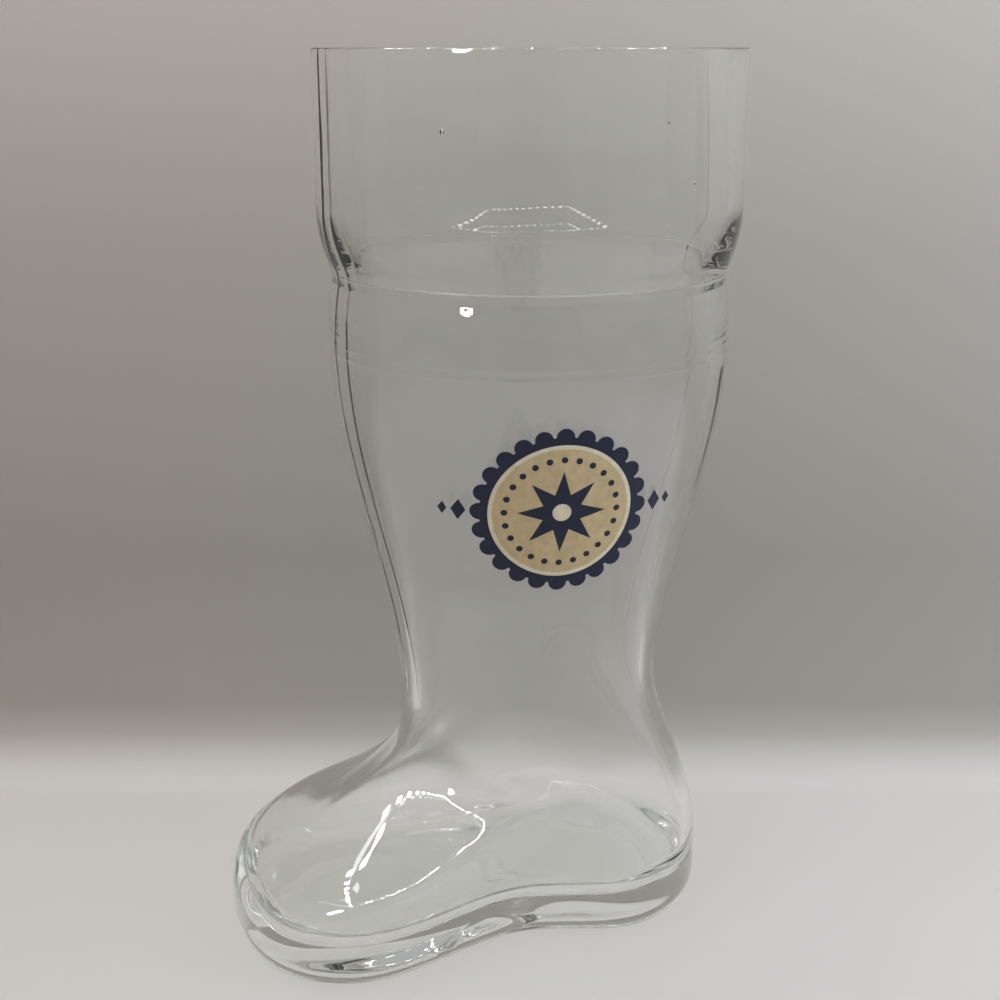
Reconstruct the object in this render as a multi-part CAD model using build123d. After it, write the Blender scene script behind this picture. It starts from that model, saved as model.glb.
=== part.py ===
from build123d import *
import math
import os

# A one litre drinking boot in clear glass, with an emblem of fired enamel on its near side.
# Sizes are in millimetres. +Z is up, the toe points along -X and the table is at zero height.
# The axis of the round shaft is the Z axis, and the glass is even about the XZ plane,
# where the two halves of its mould meet.

# Cuff: the wide straight band at the top, rounded under to a crease
boot_height = 236.0
cuff_diameter = 109.0
cuff_height = 53.5
cuff_wall = 3.2
cuff_round_height = 17.5
cuff_round_depth = 7.8
crease_overlap = 2.0

# Shaft: full at the shoulder under the crease, a little inside the cuff, and narrow at the ankle
shoulder_inset = 2.25
shoulder_drop = 17.0
ankle_diameter = 70.0
ankle_height = 62.5
boot_wall = 4.4

# Outline of the foot on the table, measured from the axis of the shaft
toe_reach = 85.0
ball_reach = 60.5
ball_width = 72.0
waist_reach = 9.0
waist_width = 59.5
heel_set_back = 17.5
heel_width = 75.0
heel_reach = 49.5

# Heights between which each stretch of the foot turns into the round shaft
toe_cap_height = 12.5
throat_height = 60.5
ball_cap_height = 23.5
ball_top_height = 45.0
waist_height = 8.0
counter_height = 18.5
counter_top_height = 75.0

# Sole: a thick clear slab with a rounded edge and a low arch in front of the heel
sole_thickness = 10.0
sole_edge_radius = 8.0
floor_round = 9.0
arch_length = 33.0
arch_rise = 2.0
arch_reach = 20.5

# Emblem: a scalloped roundel of enamel, turned a little from the side of the boot towards the toe
emblem_height = 129.5
emblem_turn = 12.0
enamel_thickness = 0.2
rim_radius = 19.5
scallop_count = 24
scallop_radius = 2.2
line_radius = 17.6
field_radius = 16.6
star_points = 8
star_radius = 10.8
star_root_radius = 5.0
core_radius = 2.3
bead_count = 24
bead_ring_radius = 13.8
bead_radius = 0.8
lozenge_sizes = [(3.4, 5.6), (2.0, 3.4)]
lozenge_gap = 0.9

# Worked out from the sizes above
cuff_radius = cuff_diameter / 2
shoulder_radius = cuff_radius - shoulder_inset
ankle_radius = ankle_diameter / 2
crease_height = boot_height - cuff_height
shoulder_height = crease_height - shoulder_drop
cuff_round_start = crease_height + cuff_round_height - crease_overlap
cuff_round_centre = cuff_radius - cuff_round_depth
crease_lean = math.sqrt(1 - (1 - crease_overlap / cuff_round_height) ** 2)
crease_radius = cuff_radius - cuff_round_depth * (1 - crease_lean)
shaft_top_height = crease_height + crease_overlap + cuff_wall
arch_radius = ((arch_length / 2) ** 2 + arch_rise ** 2) / (2 * arch_rise)
diagonal = math.sqrt(0.5)
quarter_turn = 90.0

# How finely the slices follow the form, the slope at which a rounded edge leaves its flat,
# and how far the coat of enamel goes past the emblem before the drawings cut it
slice_points = 24
round_steps = 4
round_start_angle = 25.0
foot_steps = 11
shaft_steps = 14
slope_probe = 0.2
coat_steps = 9
coat_margin = 4.0

# Stations of the foot from the toe round to the back of the heel.
# Each has its bearing on the round shaft, its place on the sole and the heights where it joins the shaft.
stations = [
    (180, -toe_reach, 0.0, toe_cap_height, throat_height),
    (205, -ball_reach - (toe_reach - ball_reach) * diagonal, -ball_width / 2 * diagonal,
     (toe_cap_height + ball_cap_height) / 2, (throat_height + ball_top_height) / 2),
    (225, -ball_reach, -ball_width / 2, ball_cap_height, ball_top_height),
    (265, -waist_reach, -waist_width / 2, waist_height, throat_height),
    (300, heel_set_back, -heel_width / 2, counter_height, counter_top_height),
    (330, heel_set_back + (heel_reach - heel_set_back) * diagonal, -heel_width / 2 * diagonal,
     counter_height, counter_top_height),
    (360, heel_reach, 0.0, counter_height, counter_top_height),
]


def eased(value, start, end):
    """Share of the way from start to end, easing in and out."""
    share = min(max((value - start) / (end - start), 0.0), 1.0)
    return share * share * (3 - 2 * share)


def spread(start, end, steps):
    """Evenly spaced heights after start, up to and with end."""
    return [start + (end - start) * (step + 1) / steps for step in range(steps)]


def shaft_radius(height):
    """Radius of the round shaft at a height."""
    if height > shoulder_height:
        drawn_in = ((height - shoulder_height) / shoulder_drop) ** 2
        return shoulder_radius - (shoulder_radius - crease_radius) * drawn_in
    return ankle_radius + (shoulder_radius - ankle_radius) * eased(height, ankle_height, shoulder_height)


def outline(height):
    """Closed outline of the boot at a height, a shoe sole that turns into a circle."""
    radius = shaft_radius(height)
    if height >= counter_top_height:
        return Edge.make_circle(radius, Plane((0, 0, height), x_dir=(-1, 0, 0)))
    near = []
    for bearing, sole_x, sole_y, join_start, join_end in stations:
        turn = math.radians(bearing)
        round_share = eased(height, join_start, join_end)
        x = sole_x + (radius * math.cos(turn) - sole_x) * round_share
        y = sole_y + (radius * math.sin(turn) - sole_y) * round_share
        near.append(Vector(x, y, height))
    far = [Vector(point.X, -point.Y, height) for point in near[-2:0:-1]]
    return Spline(*near, *far, periodic=True)


def slice_ring(points):
    """Closed smooth ring through points that are evenly spaced along it."""
    return Wire([Edge.make_spline(points, periodic=True, parameters=list(range(len(points) + 1)))])


def level_slice(height, inset=0.0):
    """Ring at a height, drawn in from the outline by an even distance."""
    edge = outline(height)
    points = []
    for step in range(slice_points):
        share = step / slice_points
        inward = Vector(0, 0, 1).cross(edge % share)
        points.append(edge @ share + inward * inset)
    return slice_ring(points)


def wall_slice(height):
    """Ring that lies the wall's thickness inside the skin, square to it."""
    edge = outline(height)
    lower = outline(height - slope_probe)
    upper = outline(height + slope_probe)
    points = []
    for step in range(slice_points):
        share = step / slice_points
        outward = (edge % share).cross(upper @ share - lower @ share).normalized()
        points.append(edge @ share - outward * boot_wall)
    return slice_ring(points)


def rounded_edge(base_height, radius, inset):
    """Rings of a rounded edge that leaves the flat at the base height and ends upright."""
    start = math.radians(round_start_angle)
    rings = []
    for step in range(round_steps + 1):
        angle = start + (math.pi / 2 - start) * step / round_steps
        height = base_height + radius * (math.cos(start) - math.cos(angle))
        rings.append(level_slice(height, inset + radius * (1 - math.sin(angle))))
    return rings


def shaft_heights():
    """Heights of the slices of the round shaft, up to inside the cuff."""
    return spread(counter_top_height, shaft_top_height, shaft_steps)


def lower_boot():
    """Foot and shaft, filled, lofted from the rounded sole to inside the cuff."""
    foot_heights = spread(sole_edge_radius, counter_top_height, foot_steps)
    rings = rounded_edge(0.0, sole_edge_radius, 0.0)
    rings += [level_slice(height) for height in foot_heights + shaft_heights()]
    return Solid.make_loft(rings)


def lower_hollow():
    """Space inside the foot and shaft, down to a flat floor with a rounded rim."""
    foot_heights = spread(sole_thickness + floor_round, counter_top_height, foot_steps)
    rings = rounded_edge(sole_thickness, floor_round, boot_wall)
    rings += [wall_slice(height) for height in foot_heights]
    rings += [level_slice(height, boot_wall) for height in shaft_heights()]
    return Solid.make_loft(rings)


def cuff_block(wall, top):
    """Turned block with the profile of the cuff, drawn in by a wall."""
    foot = crease_height - crease_overlap + wall
    edge = cuff_radius - wall
    under = EllipticalCenterArc((cuff_round_centre, cuff_round_start), cuff_round_depth - wall,
                                cuff_round_height - wall, start_angle=-quarter_turn, arc_size=quarter_turn)
    rest = Polyline((edge, cuff_round_start), (edge, top), (0, top), (0, foot), (cuff_round_centre, foot))
    profile = [under, *rest.edges()]
    return revolve(Plane.XZ * make_face(profile), Axis.Z)


def glass_boot():
    """The glass itself, one piece: boot and cuff, hollowed and arched under the sole."""
    body = lower_boot() + cuff_block(0.0, boot_height)
    space = lower_hollow() + cuff_block(cuff_wall, boot_height + cuff_wall)
    arch_place = Pos(-arch_reach, 0, arch_rise - arch_radius) * Rot(quarter_turn, 0, 0)
    arch = arch_place * Cylinder(arch_radius, 2 * ball_width)
    return body - space - arch


def enamel_coat():
    """Thin coat on the near half of the shaft, a little taller than the emblem, turned about the axis."""
    reach = rim_radius + scallop_radius + coat_margin
    low = emblem_height - reach
    heights = [low] + spread(low, emblem_height + reach, coat_steps)
    inner = [(shaft_radius(height), height) for height in heights]
    outer = [(radius + enamel_thickness, height) for radius, height in inner]
    sides = [Spline(*inner), Spline(*outer), Line(inner[0], outer[0]), Line(inner[-1], outer[-1])]
    return revolve(Plane.XZ * make_face(sides), Axis.Z, -2 * quarter_turn)


def star():
    """Star with long points, drawn upright."""
    points = []
    for corner in range(2 * star_points):
        angle = math.pi / 2 + math.pi * corner / star_points
        radius = star_root_radius if corner % 2 else star_radius
        points.append((radius * math.cos(angle), radius * math.sin(angle)))
    return make_face(Polyline(*points, close=True))


def lozenges():
    """Lozenges that grow smaller to the left and right of the roundel."""
    shapes = Sketch()
    inner = rim_radius + scallop_radius
    for width, height in lozenge_sizes:
        centre = inner + lozenge_gap + width / 2
        for side in (-1, 1):
            corners = [(width / 2, 0), (0, height / 2), (-width / 2, 0), (0, -height / 2)]
            shapes += Pos(side * centre, 0) * make_face(Polyline(*corners, close=True))
        inner = centre + width / 2
    return shapes


def emblem_drawings():
    """Each colour field of the emblem as a flat drawing. They meet edge to edge."""
    scallops = PolarLocations(rim_radius, scallop_count) * Circle(scallop_radius)
    beads = PolarLocations(bead_ring_radius, bead_count) * Circle(bead_radius)
    return {
        "emblem_rim": Circle(rim_radius) + scallops - Circle(line_radius),
        "emblem_line": Circle(line_radius) - Circle(field_radius),
        "emblem_field": Circle(field_radius) - beads - star(),
        "emblem_beads": Sketch() + beads,
        "emblem_star": star() - Circle(core_radius),
        "emblem_core": Circle(core_radius),
        "emblem_lozenges": lozenges(),
    }


def emblem_pieces():
    """Enamel pieces of the emblem, each cut from the coat by its drawing."""
    coat = enamel_coat()
    turn = math.radians(emblem_turn)
    outward = Vector(-math.sin(turn), -math.cos(turn), 0)
    across = Vector(math.cos(turn), -math.sin(turn), 0)
    face_plane = Plane(origin=(0, 0, emblem_height), x_dir=across, z_dir=outward)
    pieces = {}
    for name, drawing in emblem_drawings().items():
        pieces[name] = coat & extrude(face_plane * drawing, shoulder_radius + enamel_thickness)
    return pieces


nodes = {"glass_boot": glass_boot()}
nodes.update(emblem_pieces())

os.makedirs("parts", exist_ok=True)
for name, solid in nodes.items():
    solid.label = name
    export_step(solid, f"parts/{name}.step")
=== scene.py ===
import math

import bpy
import numpy as np
from bpy.props import FloatProperty, FloatVectorProperty, IntProperty, PointerProperty
from mathutils import Euler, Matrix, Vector, noise


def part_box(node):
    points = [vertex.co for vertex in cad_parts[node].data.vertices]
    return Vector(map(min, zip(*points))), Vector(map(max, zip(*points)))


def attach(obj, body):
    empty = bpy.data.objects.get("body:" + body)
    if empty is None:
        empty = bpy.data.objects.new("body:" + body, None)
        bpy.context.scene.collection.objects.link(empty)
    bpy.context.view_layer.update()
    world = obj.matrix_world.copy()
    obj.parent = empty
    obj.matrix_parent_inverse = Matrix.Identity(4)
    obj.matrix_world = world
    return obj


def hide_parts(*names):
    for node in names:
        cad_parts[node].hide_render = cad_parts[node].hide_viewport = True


bl_info = {
    "name": "Glass Boot",
    "version": (1, 0, 0),
    "blender": (4, 5, 0),
    "location": "View3D > Sidebar > Glass Boot",
    "description": "Builds a clear drinking boot with a fired enamel emblem on a pale studio floor",
    "category": "Object",
}

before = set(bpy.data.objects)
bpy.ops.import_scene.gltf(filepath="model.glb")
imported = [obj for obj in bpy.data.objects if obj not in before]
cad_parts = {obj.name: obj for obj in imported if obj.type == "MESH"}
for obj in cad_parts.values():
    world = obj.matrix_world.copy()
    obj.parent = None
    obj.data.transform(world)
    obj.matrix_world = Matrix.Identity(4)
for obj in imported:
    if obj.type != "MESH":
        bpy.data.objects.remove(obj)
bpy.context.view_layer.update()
boot_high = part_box("glass_boot")[1]

ROOT = "root"
GLASS_NODE = "glass_boot"
SIZES = "glass_boot_sizes"
COLOURS = "glass_boot_colours"
STAGE = "glass_boot_stage"

# Width of a new grid, the distance within which points are merged and the sockets of a colour mix
GRID_SPAN = 2.0
MERGE_DISTANCE = 0.000001
MIX_FIRST = 6
MIX_SECOND = 7
MIX_RESULT = 2

# Glass: its tints, how strongly its streaks show and how often light may turn inside it
GLASS_TINT = (0.997, 1.0, 0.997, 1.0)
GLASS_DEPTH_TINT = (0.70, 0.78, 0.73, 1.0)
GLASS_SHADOW_TINT = (0.950, 0.957, 0.953, 1.0)
GLASS_IOR = 1.51
STREAK_SHARE = 0.03
GLASS_BOUNCES = 36

# Bubbles in the wall of the cuff: bearing in degrees, height and share of the largest radius
SEEDS = [(226.8, 0.2182, 1.0), (283.5, 0.2199, 0.5), (293.0, 0.2062, 0.6)]

# Enamel: the range of noise that its clouds spread over, how dark and light they are at its ends,
# and the finish of each colour field
ENAMEL_RANGE = (0.3, 0.7)
ENAMEL_SHADES = (0.88, 1.1)
ENAMEL_SLOTS = {
    "emblem_rim": "enamel_navy",
    "emblem_line": "enamel_cream",
    "emblem_field": "enamel_tan",
    "emblem_beads": "enamel_navy",
    "emblem_star": "enamel_navy",
    "emblem_core": "enamel_cream",
    "emblem_lozenges": "enamel_navy",
}

# Painted shade and light up a wall: share of the height at which it is lightest, and strength of its colour
# there
# The wall is painted darker low down and lighter towards the top, as light falls on it
WALL_PAINTED_SHADING = [(0.045, 0.95), (0.3, 0.84), (0.7, 1.0), (1.0, 1.28)]

# Stage: the floor, the light from all round and the two lamps that light the boot.
# Places are to the right of the shaft, nearer to the camera and up.
FLOOR_GAP = 0.0002
FLOOR_RADIUS = 3.0
FLOOR_CORNERS = 96
SWEEP_STEPS = 12
WORLD_COLOUR = (0.42, 0.42, 0.42, 1.0)
SOFT_LAMP_PLACE = (-0.25, 0.15, 1.1)
SOFT_LAMP_AIM = (0.0, 0.0, 0.0)
SOFT_LAMP_SIZE = (0.9, 0.7)
SOFT_LAMP_POWER = 6.0
SIDE_LAMP_PLACE = (0.40, 0.12, 0.27)
SIDE_LAMP_AIM = (0.0, 0.0, 0.05)
SIDE_LAMP_SIZE = (0.35, 0.30)
SIDE_LAMP_POWER = 0.8
SIDE_LAMP_COLOUR = (0.74, 0.88, 1.0)

# Small lamps that only show in the glass: what they face, and the ring of them at the left
LED_AIM = (0.0, 0.0, 0.1)
RING_PLACE = (-0.31, 0.46, 0.29)
RING_AIM = (0.0, 0.0, 0.165)
RING_RADIUS = 0.045
RING_COUNT = 14

# Camera: the place and tilt that the photograph was taken from
CAMERA_PLACE = (-0.1436, -0.3534, 0.236)
CAMERA_TILT = math.radians(-17.173)
CAMERA_LENS = 52.71
CAMERA_SENSOR = 36.0
CAMERA_CLIP_START = 0.01


def length(name, description, default):
    """A size in metres that shows in the panel."""
    return FloatProperty(name=name, description=description, default=default, unit="LENGTH")


def colour(name, description, default):
    """A colour that shows in the panel."""
    return FloatVectorProperty(name=name, description=description, default=default, subtype="COLOR",
                               min=0.0, max=1.0)


class BootSizes(bpy.types.PropertyGroup):
    """Sizes of the glass. The foot is measured from the axis of the shaft."""

    boot_height: length("Height", "Height of the rim above the table", boot_high.z)
    cuff_radius: length("Cuff Radius", "Radius of the straight cuff", boot_high.y)
    cuff_height: length("Cuff Height", "Height of the cuff from the crease to the rim", 0.0535)
    cuff_wall: length("Cuff Wall", "Thickness of the glass in the cuff", 0.0032)
    cuff_round_height: length("Cuff Round Height", "Height of the rounding under the cuff", 0.0175)
    cuff_round_depth: length("Cuff Round Depth", "How far the rounding under the cuff goes in", 0.0078)
    crease_overlap: length("Crease Overlap", "How far the rounding would go on below the crease", 0.002)
    crease_softness: length("Crease Softness", "How far the crease is filled by the soft glass", 0.002)
    rim_round: length("Rim Round", "Radius of the melted edges of the rim", 0.0004)
    shoulder_radius: length("Shoulder Radius", "Radius of the shaft at its fullest", 0.05225)
    shoulder_drop: length("Shoulder Drop", "Height from the shoulder up to the crease", 0.017)
    ankle_radius: length("Ankle Radius", "Radius of the shaft at its narrowest", 0.035)
    ankle_height: length("Ankle Height", "Height of the narrowest place", 0.0625)
    boot_wall: length("Boot Wall", "Thickness of the glass in the shaft and foot", 0.0044)
    toe_reach: length("Toe Reach", "How far the toe reaches in front of the axis", 0.085)
    ball_reach: length("Ball Reach", "How far in front of the axis the ball of the foot lies", 0.0605)
    ball_width: length("Ball Width", "Width across the ball of the foot", 0.072)
    waist_reach: length("Waist Reach", "How far in front of the axis the waist lies", 0.009)
    waist_width: length("Waist Width", "Width across the waist", 0.0595)
    heel_set_back: length("Heel Set Back", "How far behind the axis the heel is widest", 0.0175)
    heel_width: length("Heel Width", "Width across the heel", 0.075)
    heel_reach: length("Heel Reach", "How far the heel reaches behind the axis", 0.0495)
    toe_cap_height: length("Toe Cap Height", "Height where the toe starts to slope back", 0.0125)
    throat_height: length("Throat Height", "Height where the front has become the shaft", 0.0605)
    ball_cap_height: length("Ball Cap Height", "Height where the ball starts to slope back", 0.0235)
    ball_top_height: length("Ball Top Height", "Height where the ball has become the shaft", 0.045)
    waist_height: length("Waist Height", "Height where the waist starts to turn round", 0.008)
    counter_height: length("Counter Height", "Height where the heel starts to draw in", 0.0185)
    counter_top_height: length("Counter Top Height", "Height where the heel has become the shaft", 0.075)
    sole_thickness: length("Sole Thickness", "Thickness of the clear slab under the hollow", 0.01)
    sole_edge_radius: length("Sole Edge Radius", "Radius of the edge of the sole", 0.008)
    floor_round: length("Floor Round", "Radius where the hollow meets its floor", 0.010)
    floor_dome: length("Floor Dome", "How far the floor of the hollow swells in its middle", 0.0012)
    base_hollow: length("Base Hollow", "How far the middle of the sole is drawn up off the table", 0.0007)
    shaft_wave: length("Shaft Wave", "Height of the slow waves inside the shaft and cuff", 0.0003)
    foot_wave: length("Foot Wave", "Height of the slow waves inside the foot", 0.0006)
    wave_pitch: length("Wave Pitch", "Distance from wave to wave", 0.024)
    arch_length: length("Arch Length", "Length of the low arch in front of the heel", 0.033)
    arch_rise: length("Arch Rise", "Height of the arch", 0.002)
    arch_reach: length("Arch Reach", "How far in front of the axis the arch is highest", 0.0205)
    seam_height: length("Seam Height", "Height of the fine seam where the mould halves met", 0.00022)
    seam_half_width: length("Seam Half Width", "Half the width of the seam", 0.0005)
    ring_line_height: length("Ring Line Height", "Height of the two fine rings under the shoulder", 0.00012)
    seed_radius: length("Seed Radius", "Radius of the largest bubble caught in the glass", 0.0006)
    columns: IntProperty(name="Columns", description="Faces around the boot", default=112, min=48)


class EnamelColours(bpy.types.PropertyGroup):
    """Colours of the fired enamel."""

    navy: colour("Navy", "Colour of the rim, star, beads and lozenges", (0.010, 0.015, 0.042))
    cream: colour("Cream", "Colour of the line and the core", (0.74, 0.68, 0.51))
    tan: colour("Tan", "Colour of the field", (0.58, 0.46, 0.26))


class StageLook(bpy.types.PropertyGroup):
    """Floor, walls and lamps."""

    floor_colour: colour("Floor", "Colour of the pale floor", (0.68, 0.648, 0.625))
    wall_colour: colour("Wall", "Colour of the grey walls behind and in front", (0.48, 0.447, 0.415))
    side_colour: colour("Side Wall", "Colour of the pale walls on both sides", (0.55, 0.55, 0.55))
    back_distance: length("Back Distance", "How far behind the shaft the back wall stands", 0.078)
    side_distance: length("Side Distance", "How far beside the shaft the side walls stand", 0.45)
    front_distance: length("Front Distance", "How far in front of the shaft the front wall stands", 0.9)
    wall_height: length("Wall Height", "Height of the walls", 0.8)
    sweep_radius: length("Sweep Radius", "Radius of the sweep between floor and wall", 0.022)
    # Painted light: the walls are painted lighter up to this height, over painted shade lower down
    painted_light_height: length("Tone Height", "Height at which the wall is lightest again", 0.25)
    opening_colour: colour("Opening", "Colour of the dim front that the glass mirrors", (0.08, 0.08, 0.08))
    opening_width: length("Opening Width", "Half the width of the dim front that the glass mirrors", 0.42)
    led_height: length("LED Height", "Height of the frame of small lamps", 0.46)
    led_side: length("LED Side", "How far the frame of small lamps reaches to each side", 0.26)
    led_front: length("LED Front", "How far the frame of small lamps reaches to the front", 0.49)
    led_pitch: length("LED Pitch", "Distance from small lamp to small lamp", 0.043)
    led_size: length("LED Size", "Width of a small lamp", 0.018)
    led_power: FloatProperty(name="LED Power", description="Power of a small lamp", default=0.120,
                             unit="POWER")
    view_turn: FloatProperty(name="View Turn", description="Bearing of the camera and the walls",
                             default=math.radians(-21.0), subtype="ANGLE")


def sizes():
    return getattr(bpy.context.scene, SIZES)


def eased(value, start, end):
    """Share of the way from start to end, easing in and out."""
    share = min(max((value - start) / (end - start), 0.0), 1.0)
    return share * share * (3 - 2 * share)


def soft_maximum(first, second, softness):
    """The larger of two values, rounded over where they cross."""
    return (first + second + math.hypot(first - second, softness)) / 2


def closed_spline(points, shares):
    """Points at shares of the length of the smooth closed curve through the given points."""
    count = len(points)
    after = np.roll(points, -1, axis=0)
    chord = np.linalg.norm(after - points, axis=1)
    steps_per_span = 48
    matrix = np.zeros((count, count))
    wanted = np.zeros_like(points)
    for here in range(count):
        before = here - 1
        beyond = (here + 1) % count
        span_in = chord[before]
        span_out = chord[here]
        matrix[here, before] += span_out
        matrix[here, here] += 2 * (span_in + span_out)
        matrix[here, beyond] += span_in
        rise_in = (points[here] - points[before]) / span_in
        rise_out = (points[beyond] - points[here]) / span_out
        wanted[here] = 3 * (span_out * rise_in + span_in * rise_out)
    slopes = np.linalg.solve(matrix, wanted)
    share = (np.arange(steps_per_span) / steps_per_span)[:, None, None]
    start_weight = 2 * share ** 3 - 3 * share ** 2 + 1
    leave_weight = share ** 3 - 2 * share ** 2 + share
    end_weight = 3 * share ** 2 - 2 * share ** 3
    arrive_weight = share ** 3 - share ** 2
    leaving = slopes * chord[:, None]
    arriving = np.roll(slopes, -1, axis=0) * chord[:, None]
    dense = start_weight * points + leave_weight * leaving + end_weight * after + arrive_weight * arriving
    dense = dense.transpose(1, 0, 2).reshape(-1, points.shape[1])
    dense = np.vstack([dense, dense[:1]])
    run = np.concatenate([[0.0], np.cumsum(np.linalg.norm(np.diff(dense, axis=0), axis=1))])
    at = np.asarray(shares) * run[-1]
    return np.stack([np.interp(at, run, dense[:, axis]) for axis in range(points.shape[1])], axis=1)


def at_height(flat, height):
    """Ring of flat points lifted to a height."""
    return np.column_stack([flat, np.full(len(flat), height)])


class BootForm:
    """Skin of the boot as rings of points, worked out from its sizes."""

    # Small step in height that shows the slope of the skin,
    # and how many half widths of a seam its second column lies away
    slope_probe = 0.0002
    seam_spread = 2.4

    # Distance from ring to ring in each stretch of the boot
    foot_pitch = 0.0034
    shaft_pitch = 0.005
    shoulder_pitch = 0.0025
    crease_pitch = 0.0008
    round_pitch = 0.0016
    cuff_pitch = 0.0045

    # How far the close rings reach past the crease and the rounding, and how far they stop below the rim
    crease_margin = 0.006
    round_margin = 0.002
    rim_margin = 0.0016

    # Fine ring lines: their drops below the shoulder, half width and the stretch kept free for them
    line_drops = (0.003, 0.0005)
    line_half_width = 0.0004
    line_room_below = 0.004
    line_room_above = 0.002

    # Steps of a melted corner of the rim, and how far out the rings that fill a flat lie
    rim_steps = 4
    flat_shares = (0.0, 0.2, 0.4, 0.6, 0.75, 0.88, 0.96)

    def __init__(self, size):
        self.size = size
        self.crease_height = size.boot_height - size.cuff_height
        self.shoulder_height = self.crease_height - size.shoulder_drop
        self.cuff_round_start = self.crease_height + size.cuff_round_height - size.crease_overlap
        lean = math.sqrt(1 - (1 - size.crease_overlap / size.cuff_round_height) ** 2)
        self.crease_radius = size.cuff_radius - size.cuff_round_depth * (1 - lean)
        self.shares = self.column_shares()
        self.stations = self.foot_stations()

    def column_shares(self):
        """Shares of the way round from the toe, with close columns beside the two mould seams."""
        size = self.size
        girth = 2 * math.pi * size.ankle_radius
        beside = size.seam_half_width / girth
        close = [0.0, beside, self.seam_spread * beside]
        between = size.columns // 2 - 2 * len(close)
        reach = 0.5 - 2 * close[-1]
        even = [close[-1] + reach * (step + 1) / (between + 1) for step in range(between)]
        side = close + even + [0.5 - share for share in close[:0:-1]]
        return np.array(side + [0.5 + share for share in side])

    def seam_raise(self, height):
        """Height of the two mould seams at each column, fire-polished away in the foot."""
        s = self.size
        raised = np.zeros(len(self.shares))
        share = eased(height, s.ankle_height, s.counter_top_height)
        raised[[0, len(self.shares) // 2]] = s.seam_height * share
        return raised[:, None]

    def waves(self, ring, height):
        """Slow unevenness of the blown inner skin at each point of a ring."""
        s = self.size
        reach = s.foot_wave + (s.shaft_wave - s.foot_wave) * eased(height, 0.0, s.counter_top_height)
        return np.array([reach * noise.noise(Vector(point) / s.wave_pitch) for point in ring])[:, None]

    def foot_stations(self):
        """Bearing, place on the sole and joining heights of each station, from the toe to the heel."""
        s = self.size
        diagonal = math.sqrt(0.5)
        toe_side = s.ball_reach + (s.toe_reach - s.ball_reach) * diagonal
        heel_side = s.heel_set_back + (s.heel_reach - s.heel_set_back) * diagonal
        toe_side_cap = (s.toe_cap_height + s.ball_cap_height) / 2
        toe_side_top = (s.throat_height + s.ball_top_height) / 2
        return [
            (180, -s.toe_reach, 0.0, s.toe_cap_height, s.throat_height),
            (205, -toe_side, -s.ball_width / 2 * diagonal, toe_side_cap, toe_side_top),
            (225, -s.ball_reach, -s.ball_width / 2, s.ball_cap_height, s.ball_top_height),
            (265, -s.waist_reach, -s.waist_width / 2, s.waist_height, s.throat_height),
            (300, s.heel_set_back, -s.heel_width / 2, s.counter_height, s.counter_top_height),
            (330, heel_side, -s.heel_width / 2 * diagonal, s.counter_height, s.counter_top_height),
            (360, s.heel_reach, 0.0, s.counter_height, s.counter_top_height),
        ]

    def shaft_radius(self, height):
        """Radius of the shaft without the cuff."""
        s = self.size
        if height > self.shoulder_height:
            drawn_in = ((height - self.shoulder_height) / s.shoulder_drop) ** 2
            return s.shoulder_radius - (s.shoulder_radius - self.crease_radius) * drawn_in
        share = eased(height, s.ankle_height, self.shoulder_height)
        return s.ankle_radius + (s.shoulder_radius - s.ankle_radius) * share

    def round_radius(self, height):
        """Radius of the round part, with the cuff running softly into the shaft at the crease."""
        s = self.size
        shaft = self.shaft_radius(height)
        below = (self.cuff_round_start - height) / s.cuff_round_height
        if below >= 1:
            return shaft
        rounding = s.cuff_round_depth * (1 - math.sqrt(1 - max(below, 0.0) ** 2))
        cuff = s.cuff_radius - s.seam_height - rounding
        if below <= 0:
            return cuff
        return soft_maximum(shaft, cuff, s.crease_softness)

    def skin(self, height):
        """Ring of the outer skin at a height."""
        radius = self.round_radius(height)
        if height >= self.size.counter_top_height:
            turn = math.pi + 2 * math.pi * self.shares
            return at_height(np.column_stack([radius * np.cos(turn), radius * np.sin(turn)]), height)
        near = []
        for bearing, sole_x, sole_y, join_start, join_end in self.stations:
            turn = math.radians(bearing)
            share = eased(height, join_start, join_end)
            x = sole_x + (radius * math.cos(turn) - sole_x) * share
            y = sole_y + (radius * math.sin(turn) - sole_y) * share
            near.append((x, y))
        far = [(x, -y) for x, y in near[-2:0:-1]]
        return at_height(closed_spline(np.array(near + far), self.shares), height)

    def outward(self, height):
        """Direction square to the skin at each column of a height."""
        ring = self.skin(height)
        along = np.roll(ring, -1, axis=0) - np.roll(ring, 1, axis=0)
        up = self.skin(height + self.slope_probe) - self.skin(height - self.slope_probe)
        normal = np.cross(along, up)
        return normal / np.linalg.norm(normal, axis=1)[:, None]

    def level_ring(self, height, inset):
        """Ring drawn in level by a distance."""
        ring = self.skin(height)
        along = np.roll(ring, -1, axis=0) - np.roll(ring, 1, axis=0)
        inward = np.cross([0.0, 0.0, 1.0], along)
        return ring + inward / np.linalg.norm(inward, axis=1)[:, None] * inset

    def outer_ring(self, height, raised):
        """Ring of the outer skin with its mould seams and any extra height."""
        return self.skin(height) + self.outward(height) * (self.seam_raise(height) + raised)

    def wall(self, height):
        """Thickness of the glass at a height."""
        s = self.size
        share = eased(height, self.crease_height - s.cuff_wall, self.cuff_round_start)
        return s.boot_wall + (s.cuff_wall - s.boot_wall) * share

    def inner_ring(self, height):
        """Ring of the hollow: level through the wall near its floor, square to the skin above."""
        s = self.size
        ring = self.skin(height)
        floor_top = s.sole_thickness + s.floor_round
        square = eased(height, floor_top, floor_top + s.floor_round)
        outward = self.outward(height)
        level = outward * [1.0, 1.0, 0.0]
        level /= np.linalg.norm(level, axis=1)[:, None]
        through = level + (outward - level) * square
        through /= np.linalg.norm(through, axis=1)[:, None]
        return ring - through * (self.wall(height) + self.waves(ring, height))

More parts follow.
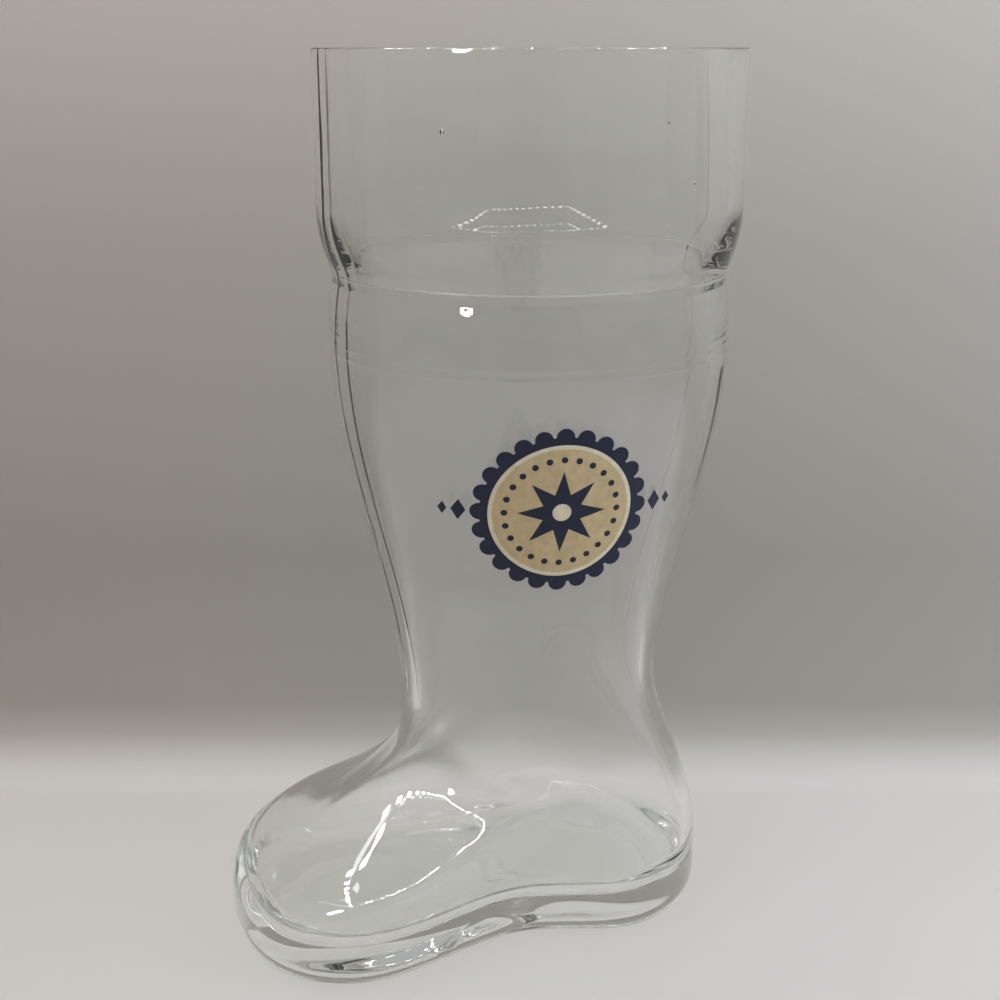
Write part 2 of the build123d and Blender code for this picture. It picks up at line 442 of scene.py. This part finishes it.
    def rounded_edge(self, base_height, radius, inset, steps=9):
        """Rings of a quarter round that leaves the flat at the base height and ends upright."""
        rings = []
        for step in range(steps + 1):
            angle = math.pi / 2 * step / steps
            height = base_height + radius * (1 - math.cos(angle))
            rings.append(self.level_ring(height, inset + radius * (1 - math.sin(angle))))
        return rings

    def flat(self, edge, rise):
        """Rings that fill an edge ring from its middle outwards, with a swell in the middle."""
        middle = np.array([edge[:, 0].mean(), 0.0, edge[0, 2]])
        rings = []
        for share in self.flat_shares:
            ring = middle + (edge - middle) * share
            ring[:, 2] += rise * (1 - eased(share, 0.0, 1.0))
            rings.append(ring)
        return rings

    def arched(self, ring):
        """Ring lifted by the low arch in front of the heel."""
        s = self.size
        radius = ((s.arch_length / 2) ** 2 + s.arch_rise ** 2) / (2 * s.arch_rise)
        reach = np.clip(ring[:, 0] + s.arch_reach, -radius, radius)
        arch = s.arch_rise - radius + np.sqrt(radius ** 2 - reach ** 2)
        lifted = ring.copy()
        soft = s.arch_rise / 8
        lifted[:, 2] = (ring[:, 2] + arch + np.hypot(ring[:, 2] - arch, soft)) / 2
        lifted[:, 2] = np.where(arch < -s.arch_rise, ring[:, 2], lifted[:, 2])
        return lifted

    def heights(self, start):
        """Heights of the rings from the foot to just under the rim."""
        s = self.size
        crease_low = self.crease_height - self.crease_margin
        crease_high = self.crease_height + self.crease_margin
        round_high = self.cuff_round_start + self.round_margin
        stretches = [
            (start, s.counter_top_height, self.foot_pitch),
            (s.counter_top_height, self.shoulder_height - self.line_room_below, self.shaft_pitch),
            (self.shoulder_height + self.line_room_above, crease_low, self.shoulder_pitch),
            (crease_low, crease_high, self.crease_pitch),
            (crease_high, round_high, self.round_pitch),
            (round_high, s.boot_height - self.rim_margin, self.cuff_pitch),
        ]
        found = []
        for low, high, pitch in stretches:
            steps = max(1, round((high - low) / pitch))
            found += [low + (high - low) * step / steps for step in range(1, steps + 1)]
        return found

    def ring_line_rings(self):
        """Heights of the rings of the two fine lines, and how far each ring stands out."""
        rings = []
        for drop in self.line_drops:
            for step, share in ((-1, 0.0), (0, 1.0), (1, 0.0)):
                height = self.shoulder_height - drop + step * self.line_half_width
                rings.append((height, share * self.size.ring_line_height))
        return rings

    def rim(self):
        """Rings of the flat rim with its melted edges."""
        s = self.size
        turns = [math.pi / 2 * step / self.rim_steps for step in range(self.rim_steps + 1)]
        outer_corner = [(1 - math.cos(turn), 1 - math.sin(turn)) for turn in turns]
        inner_corner = [(1 - math.sin(turn), 1 - math.cos(turn)) for turn in turns]
        profile = [(s.rim_round * across, drop) for across, drop in outer_corner]
        profile += [(s.cuff_wall - s.rim_round * across, drop) for across, drop in inner_corner]
        rings = []
        for inset, drop in profile:
            ring = self.level_ring(s.boot_height - s.rim_round, inset)
            ring[:, 2] = s.boot_height - s.rim_round * drop
            rings.append(ring)
        return rings

    def outer_rings(self):
        """Rings of the outer skin from the middle of the sole up to the rim."""
        s = self.size
        sole = self.rounded_edge(0.0, s.sole_edge_radius, 0.0)
        climbing = [(height, 0.0) for height in self.heights(s.sole_edge_radius)] + self.ring_line_rings()
        rings = self.flat(sole[0], s.base_hollow) + sole
        rings += [self.outer_ring(height, raised) for height, raised in sorted(climbing)]
        return [self.arched(ring) for ring in rings]

    def inner_rings(self):
        """Rings of the hollow from the middle of its floor up to the rim."""
        s = self.size
        edge = self.rounded_edge(s.sole_thickness, s.floor_round, s.boot_wall)
        rings = self.flat(edge[0], s.floor_dome) + edge
        for ring in rings:
            height = ring[0, 2]
            sideways = eased(height, s.sole_thickness, s.sole_thickness + s.floor_round)
            inward = np.array([ring[:, 0].mean(), 0.0, 0.0]) - ring * [1.0, 1.0, 0.0]
            inward /= np.maximum(np.linalg.norm(inward, axis=1), self.slope_probe)[:, None]
            lift = inward * sideways + np.array([0.0, 0.0, 1.0]) * (1 - sideways)
            ring += lift * self.waves(ring, height)
        rings += [self.inner_ring(height) for height in self.heights(s.sole_thickness + s.floor_round)]
        return rings

    def rings(self):
        """All rings of the closed skin, from under the sole over the rim to the floor of the hollow."""
        return self.outer_rings() + self.rim() + self.inner_rings()[::-1]


def deselect_all():
    bpy.ops.object.select_all(action="DESELECT")


def grid_step(along, steps):
    """Number of the step of a new grid that a place along one of its sides lies on."""
    return round((along / GRID_SPAN + 0.5) * steps)


def wrapped_skin(name, rings):
    """Closed mesh made from a flat grid whose rows are laid on the rings."""
    columns = len(rings[0])
    rows = len(rings) - 1
    deselect_all()
    bpy.ops.mesh.primitive_grid_add(x_subdivisions=columns, y_subdivisions=rows, size=GRID_SPAN)
    skin = bpy.context.object
    skin.name = name
    skin.data.name = name
    for vertex in skin.data.vertices:
        column = grid_step(vertex.co.x, columns) % columns
        row = grid_step(vertex.co.y, rows)
        vertex.co = rings[row][column]
    bpy.ops.object.mode_set(mode="EDIT")
    bpy.ops.mesh.select_all(action="SELECT")
    bpy.ops.mesh.remove_doubles(threshold=MERGE_DISTANCE)
    bpy.ops.mesh.normals_make_consistent(inside=False)
    bpy.ops.object.mode_set(mode="OBJECT")
    return skin


def smooth_by_subdivision(piece, levels):
    """Rounds a piece with an applied subdivision surface and shades it smooth."""
    deselect_all()
    piece.select_set(True)
    bpy.context.view_layer.objects.active = piece
    rounding = piece.modifiers.new("Rounding", "SUBSURF")
    rounding.levels = levels
    rounding.render_levels = levels
    bpy.ops.object.modifier_apply(modifier=rounding.name)
    bpy.ops.object.shade_smooth()


def new_material(name):
    """Material with a Principled shader, and that shader."""
    material = bpy.data.materials.new(name)
    material.use_nodes = True
    return material, material.node_tree.nodes["Principled BSDF"]


def add_node(tree, kind, **settings):
    """Node of a kind with plain settings and inputs by name."""
    node = tree.nodes.new(kind)
    for key, value in settings.items():
        if hasattr(node, key):
            setattr(node, key, value)
        else:
            node.inputs[key.replace("_", " ")].default_value = value
    return node


def glass_material():
    """Clear glass, faintly grey-green in its depth, with the slow waves and drawn streaks of blown glass.

    Light on its way to a matt surface passes it in a straight line and loses a little at each skin.
    """
    material, shader = new_material("boot_glass")
    tree = material.node_tree
    shader.inputs["Base Color"].default_value = GLASS_TINT
    shader.inputs["Roughness"].default_value = 0.0
    shader.inputs["IOR"].default_value = GLASS_IOR
    shader.inputs["Transmission Weight"].default_value = 1.0
    place = add_node(tree, "ShaderNodeTexCoord")
    waves = add_node(tree, "ShaderNodeTexNoise", Scale=38.0, Detail=1.5, Roughness=0.4)
    drawn = add_node(tree, "ShaderNodeMapping", Scale=(1.0, 1.0, 0.02))
    streaks = add_node(tree, "ShaderNodeTexNoise", Scale=260.0, Detail=2.0, Roughness=0.5)
    faint = add_node(tree, "ShaderNodeMath", operation="MULTIPLY_ADD")
    faint.inputs[1].default_value = STREAK_SHARE
    bump = add_node(tree, "ShaderNodeBump", Strength=0.25, Distance=0.00035)
    tree.links.new(place.outputs["Object"], waves.inputs["Vector"])
    tree.links.new(place.outputs["Object"], drawn.inputs["Vector"])
    tree.links.new(drawn.outputs["Vector"], streaks.inputs["Vector"])
    tree.links.new(streaks.outputs["Fac"], faint.inputs[0])
    tree.links.new(waves.outputs["Fac"], faint.inputs[2])
    tree.links.new(faint.outputs["Value"], bump.inputs["Height"])
    tree.links.new(bump.outputs["Normal"], shader.inputs["Normal"])
    path = add_node(tree, "ShaderNodeLightPath")
    clear = add_node(tree, "ShaderNodeBsdfTransparent")
    clear.inputs["Color"].default_value = GLASS_SHADOW_TINT
    lighting = add_node(tree, "ShaderNodeMath", operation="MAXIMUM")
    pick = add_node(tree, "ShaderNodeMixShader")
    tree.links.new(path.outputs["Is Shadow Ray"], lighting.inputs[0])
    tree.links.new(path.outputs["Is Diffuse Ray"], lighting.inputs[1])
    tree.links.new(lighting.outputs["Value"], pick.inputs[0])
    tree.links.new(shader.outputs["BSDF"], pick.inputs[1])
    tree.links.new(clear.outputs["BSDF"], pick.inputs[2])
    output = tree.nodes["Material Output"]
    tree.links.new(pick.outputs["Shader"], output.inputs["Surface"])
    depth = add_node(tree, "ShaderNodeVolumeAbsorption", Density=2.5)
    depth.inputs["Color"].default_value = GLASS_DEPTH_TINT
    tree.links.new(depth.outputs["Volume"], output.inputs["Volume"])
    return material


def add_seeds(boot, size):
    """Small round bubbles caught in the wall of the cuff, as closed hollows in the glass."""
    reach = size.cuff_radius - size.cuff_wall / 2
    for bearing, height, share in SEEDS:
        turn = math.radians(bearing)
        place = (reach * math.cos(turn), reach * math.sin(turn), height)
        deselect_all()
        bpy.ops.mesh.primitive_uv_sphere_add(segments=16, ring_count=10, radius=size.seed_radius * share,
                                             location=place)
        bpy.ops.object.mode_set(mode="EDIT")
        bpy.ops.mesh.select_all(action="SELECT")
        bpy.ops.mesh.flip_normals()
        bpy.ops.object.mode_set(mode="OBJECT")
        bpy.ops.object.shade_smooth()
        boot.select_set(True)
        bpy.context.view_layer.objects.active = boot
        bpy.ops.object.join()


class GLASSBOOT_OT_glass(bpy.types.Operator):
    """Builds the glass of the boot as one closed skin"""

    bl_idname = "glass_boot.glass"
    bl_label = "Build Glass"

    def execute(self, context):
        form = BootForm(sizes())
        boot = wrapped_skin("boot_glass", form.rings())
        smooth_by_subdivision(boot, 1)
        add_seeds(boot, sizes())
        boot.data.materials.append(glass_material())
        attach(boot, ROOT)
        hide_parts(GLASS_NODE)
        return {"FINISHED"}


def enamel_material(name, base):
    """Fired enamel with faint clouds in its colour, a fine grain in its surface and a soft gloss."""
    material, shader = new_material(name)
    tree = material.node_tree
    shader.inputs["Specular IOR Level"].default_value = 0.3
    place = add_node(tree, "ShaderNodeTexCoord")
    clouds = add_node(tree, "ShaderNodeTexNoise", Scale=420.0, Detail=4.0)
    grain = add_node(tree, "ShaderNodeTexNoise", Scale=3200.0, Detail=2.0)
    shade = add_node(tree, "ShaderNodeValToRGB")
    for element, position, strength in zip(shade.color_ramp.elements, ENAMEL_RANGE, ENAMEL_SHADES):
        element.position = position
        element.color = (*[min(channel * strength, 1.0) for channel in base], 1.0)
    bump = add_node(tree, "ShaderNodeBump", Strength=0.15, Distance=0.00005)
    gloss = add_node(tree, "ShaderNodeMapRange", From_Min=ENAMEL_RANGE[0], From_Max=ENAMEL_RANGE[1],
                     To_Min=0.28, To_Max=0.42)
    tree.links.new(place.outputs["Object"], clouds.inputs["Vector"])
    tree.links.new(place.outputs["Object"], grain.inputs["Vector"])
    tree.links.new(clouds.outputs["Fac"], shade.inputs["Fac"])
    tree.links.new(shade.outputs["Color"], shader.inputs["Base Color"])
    tree.links.new(grain.outputs["Fac"], gloss.inputs["Value"])
    tree.links.new(gloss.outputs["Result"], shader.inputs["Roughness"])
    tree.links.new(grain.outputs["Fac"], bump.inputs["Height"])
    tree.links.new(bump.outputs["Normal"], shader.inputs["Normal"])
    return material


class GLASSBOOT_OT_enamel(bpy.types.Operator):
    """Gives the enamel of the emblem its colours"""

    bl_idname = "glass_boot.enamel"
    bl_label = "Fire Enamel"

    def execute(self, context):
        colours = getattr(context.scene, COLOURS)
        bases = {"enamel_navy": colours.navy, "enamel_cream": colours.cream, "enamel_tan": colours.tan}
        finishes = {slot: enamel_material(slot, base) for slot, base in bases.items()}
        for node, slot in ENAMEL_SLOTS.items():
            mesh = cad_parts[node].data
            mesh.materials.clear()
            mesh.materials.append(finishes[slot])
        return {"FINISHED"}


def paper_material(name, look, wall_colour, dim_mirrored=False):
    """Matt paper, pale on the floor, with painted shade low on the walls and painted light higher up, seen
    from its front only.

    Where it is dim when mirrored, the glass reflects an open front and not a pale wall.
    """
    material, shader = new_material(name)
    tree = material.node_tree
    shader.inputs["Roughness"].default_value = 0.9
    shader.inputs["Specular IOR Level"].default_value = 0.1
    place = add_node(tree, "ShaderNodeTexCoord")
    axes = add_node(tree, "ShaderNodeSeparateXYZ")
    climb = add_node(tree, "ShaderNodeMapRange", From_Max=look.painted_light_height)
    # Painted shade and light: floor colour at the bottom, then the wall colour darkened low down and
    # lightened towards the top
    paper_and_painted_shade = add_node(tree, "ShaderNodeValToRGB")
    stops = [(0.0, look.floor_colour, 1.0)]
    stops += [(position, wall_colour, strength) for position, strength in WALL_PAINTED_SHADING]
    while len(paper_and_painted_shade.color_ramp.elements) < len(stops):
        paper_and_painted_shade.color_ramp.elements.new(1.0)
    for element, (position, base, strength) in zip(paper_and_painted_shade.color_ramp.elements, stops):
        element.position = position
        element.color = (*[channel * strength for channel in base], 1.0)
    side = add_node(tree, "ShaderNodeNewGeometry")
    clear = add_node(tree, "ShaderNodeBsdfTransparent")
    pick = add_node(tree, "ShaderNodeMixShader")
    tree.links.new(place.outputs["Object"], axes.inputs["Vector"])
    tree.links.new(axes.outputs["Z"], climb.inputs["Value"])
    tree.links.new(climb.outputs["Result"], paper_and_painted_shade.inputs["Fac"])
    tree.links.new(paper_and_painted_shade.outputs["Color"], shader.inputs["Base Color"])
    tree.links.new(side.outputs["Backfacing"], pick.inputs[0])
    tree.links.new(shader.outputs["BSDF"], pick.inputs[1])
    tree.links.new(clear.outputs["BSDF"], pick.inputs[2])
    tree.links.new(pick.outputs["Shader"], tree.nodes["Material Output"].inputs["Surface"])
    if dim_mirrored:
        path = add_node(tree, "ShaderNodeLightPath")
        across = add_node(tree, "ShaderNodeVectorMath", operation="DOT_PRODUCT")
        across.inputs[1].default_value = stage_place(look, 1.0, 0.0, 0.0)
        beside = add_node(tree, "ShaderNodeMath", operation="ABSOLUTE")
        opening = add_node(tree, "ShaderNodeMapRange", interpolation_type="SMOOTHSTEP",
                           From_Max=look.opening_width)
        mirrored = add_node(tree, "ShaderNodeMix", data_type="RGBA")
        mirrored.inputs[MIX_FIRST].default_value = (*look.opening_colour, 1.0)
        mirrored.inputs[MIX_SECOND].default_value = (*look.side_colour, 1.0)
        shade = add_node(tree, "ShaderNodeMix", data_type="RGBA")
        tree.links.new(place.outputs["Object"], across.inputs[0])
        tree.links.new(across.outputs["Value"], beside.inputs[0])
        tree.links.new(beside.outputs["Value"], opening.inputs["Value"])
        tree.links.new(opening.outputs["Result"], mirrored.inputs[0])
        tree.links.new(path.outputs["Is Glossy Ray"], shade.inputs[0])
        tree.links.new(paper_and_painted_shade.outputs["Color"], shade.inputs[MIX_FIRST])
        tree.links.new(mirrored.outputs[MIX_RESULT], shade.inputs[MIX_SECOND])
        tree.links.new(shade.outputs[MIX_RESULT], shader.inputs["Base Color"])
    return material


def stage_wall(name, bearing, distance, look, paper):
    """Upright wall that faces the boot, with a sweep down to the floor."""
    profile = []
    for step in range(SWEEP_STEPS + 1):
        angle = math.pi / 2 * step / SWEEP_STEPS
        inward = look.sweep_radius * (1 - math.sin(angle))
        profile.append((inward, look.sweep_radius * (1 - math.cos(angle))))
    profile.append((0.0, look.wall_height))
    rows = len(profile) - 1
    deselect_all()
    bpy.ops.mesh.primitive_grid_add(x_subdivisions=1, y_subdivisions=rows, size=GRID_SPAN)
    wall = bpy.context.object
    wall.name = name
    for vertex in wall.data.vertices:
        inward, height = profile[grid_step(vertex.co.y, rows)]
        place = Vector((vertex.co.x * look.front_distance, distance - inward, height - FLOOR_GAP))
        place.rotate(Euler((0.0, 0.0, bearing)))
        vertex.co = place
    wall.data.update()
    wall.data.materials.append(paper)
    bpy.ops.object.shade_smooth()
    wall.visible_shadow = False
    return wall


def area_lamp(name, place, aim, size, power):
    """Rectangular lamp at a place, turned to its aim."""
    lamp = bpy.data.lights.new(name, "AREA")
    lamp.shape = "RECTANGLE"
    lamp.size, lamp.size_y = size
    lamp.energy = power
    holder = bpy.data.objects.new(name, lamp)
    holder.location = place
    holder.rotation_euler = (Vector(aim) - Vector(place)).to_track_quat("-Z", "Y").to_euler()
    bpy.context.scene.collection.objects.link(holder)
    return holder


def stage_place(look, right, nearer, height):
    """Place to the right of the shaft and nearer to the camera, as the camera sees it."""
    place = Vector((right, -nearer, height))
    place.rotate(Euler((0.0, 0.0, look.view_turn)))
    return place


def small_lamps(name, places, aim, look):
    """Row of small square lamps that show only as dots in the glass."""
    size = (look.led_size, look.led_size)
    lamps = []
    for number, place in enumerate(places):
        lamp = area_lamp(f"{name}_{number}", place, aim, size, look.led_power)
        lamp.visible_camera = False
        lamp.visible_diffuse = False
        lamps.append(lamp)
    return lamps


def led_frame(look):
    """Places of the small lamps along a rectangle above the front of the boot."""
    corners = [(-look.led_side, 0.0), (look.led_side, 0.0), (look.led_side, look.led_front),
               (-look.led_side, look.led_front)]
    places = []
    for start, end in zip(corners, corners[1:] + corners[:1]):
        run = Vector(end) - Vector(start)
        steps = round(run.length / look.led_pitch)
        for step in range(steps):
            right, nearer = Vector(start) + run * step / steps
            places.append(stage_place(look, right, nearer, look.led_height))
    return places


def ring_lamp_places(look):
    """Places of small lamps round an upright ring that faces the boot."""
    right, nearer, height = RING_PLACE
    places = []
    for number in range(RING_COUNT):
        turn = 2 * math.pi * number / RING_COUNT
        across = RING_RADIUS * math.cos(turn)
        up = RING_RADIUS * math.sin(turn)
        places.append(stage_place(look, right + across, nearer, height + up))
    return places


def stage_floor(paper):
    """Pale round floor just under the sole."""
    deselect_all()
    bpy.ops.mesh.primitive_circle_add(vertices=FLOOR_CORNERS, radius=FLOOR_RADIUS, fill_type="NGON")
    floor = bpy.context.object
    floor.name = "studio_floor"
    for vertex in floor.data.vertices:
        vertex.co.z = -FLOOR_GAP
    floor.data.materials.append(paper)


def stage_walls(look, paper):
    """Back wall that the camera sees, and walls at the sides and front that only the glass mirrors."""
    pale_side = paper_material("studio_side", look, look.side_colour)
    open_front = paper_material("studio_front", look, look.wall_colour, dim_mirrored=True)
    walls = {
        "back_wall": (0.0, look.back_distance, paper),
        "left_wall": (math.pi / 2, look.side_distance, pale_side),
        "right_wall": (-math.pi / 2, look.side_distance, pale_side),
        "front_wall": (math.pi, look.front_distance, open_front),
    }
    for name, (bearing, distance, cover) in walls.items():
        wall = stage_wall(name, look.view_turn + bearing, distance, look, cover)
        wall.visible_camera = cover is paper
        wall.visible_transmission = cover is paper


def stage_light(look):
    """Light from all round, a soft lamp above, a cool lamp at the side and the small lamps."""
    world = bpy.data.worlds.new("studio")
    world.use_nodes = True
    world.node_tree.nodes["Background"].inputs["Color"].default_value = WORLD_COLOUR
    bpy.context.scene.world = world
    soft_place = stage_place(look, *SOFT_LAMP_PLACE)
    side_place = stage_place(look, *SIDE_LAMP_PLACE)
    soft = area_lamp("soft_lamp", soft_place, SOFT_LAMP_AIM, SOFT_LAMP_SIZE, SOFT_LAMP_POWER)
    side = area_lamp("side_lamp", side_place, SIDE_LAMP_AIM, SIDE_LAMP_SIZE, SIDE_LAMP_POWER)
    side.data.color = SIDE_LAMP_COLOUR
    for lamp in (soft, side):
        lamp.visible_glossy = False
        lamp.visible_transmission = False
    small_lamps("led", led_frame(look), LED_AIM, look)
    for lamp in small_lamps("ring", ring_lamp_places(look), RING_AIM, look):
        lamp.visible_transmission = False


def stage_camera(look):
    """Camera at the angle of the photograph."""
    camera = bpy.data.cameras.new("photo_camera")
    camera.lens = CAMERA_LENS
    camera.sensor_width = CAMERA_SENSOR
    camera.clip_start = CAMERA_CLIP_START
    holder = bpy.data.objects.new("photo_camera", camera)
    holder.location = CAMERA_PLACE
    holder.rotation_euler = (math.pi / 2 + CAMERA_TILT, 0.0, look.view_turn)
    bpy.context.scene.collection.objects.link(holder)
    bpy.context.scene.camera = holder


class GLASSBOOT_OT_stage(bpy.types.Operator):
    """Adds the floor, the light and the camera"""

    bl_idname = "glass_boot.stage"
    bl_label = "Set Stage"

    def execute(self, context):
        look = getattr(context.scene, STAGE)
        scene = context.scene
        scene.view_settings.view_transform = "Standard"
        scene.cycles.max_bounces = GLASS_BOUNCES
        scene.cycles.glossy_bounces = GLASS_BOUNCES
        scene.cycles.transmission_bounces = GLASS_BOUNCES
        scene.cycles.caustics_reflective = False
        scene.cycles.caustics_refractive = False
        paper = paper_material("studio_paper", look, look.wall_colour)
        stage_floor(paper)
        stage_walls(look, paper)
        stage_light(look)
        stage_camera(look)
        return {"FINISHED"}


class GLASSBOOT_PT_panel(bpy.types.Panel):
    """Sidebar panel of the glass boot"""

    bl_idname = "GLASSBOOT_PT_panel"
    bl_label = "Glass Boot"
    bl_space_type = "VIEW_3D"
    bl_region_type = "UI"
    bl_category = "Glass Boot"

    def draw(self, context):
        layout = self.layout
        for group in (SIZES, COLOURS, STAGE):
            box = layout.box()
            settings = getattr(context.scene, group)
            for name in settings.__annotations__:
                box.prop(settings, name)
        for step in BUILD_STEPS:
            layout.operator(step.bl_idname)


BUILD_STEPS = (GLASSBOOT_OT_glass, GLASSBOOT_OT_enamel, GLASSBOOT_OT_stage)
GROUPS = {SIZES: BootSizes, COLOURS: EnamelColours, STAGE: StageLook}


def register():
    for group in GROUPS.values():
        bpy.utils.register_class(group)
    for name, group in GROUPS.items():
        setattr(bpy.types.Scene, name, PointerProperty(type=group))
    for step in BUILD_STEPS:
        bpy.utils.register_class(step)
    bpy.utils.register_class(GLASSBOOT_PT_panel)


def unregister():
    bpy.utils.unregister_class(GLASSBOOT_PT_panel)
    for step in reversed(BUILD_STEPS):
        bpy.utils.unregister_class(step)
    for name, group in GROUPS.items():
        delattr(bpy.types.Scene, name)
        bpy.utils.unregister_class(group)


def main():
    register()
    bpy.ops.glass_boot.glass()
    bpy.ops.glass_boot.enamel()
    bpy.ops.glass_boot.stage()


if __name__ == "__main__":
    main()
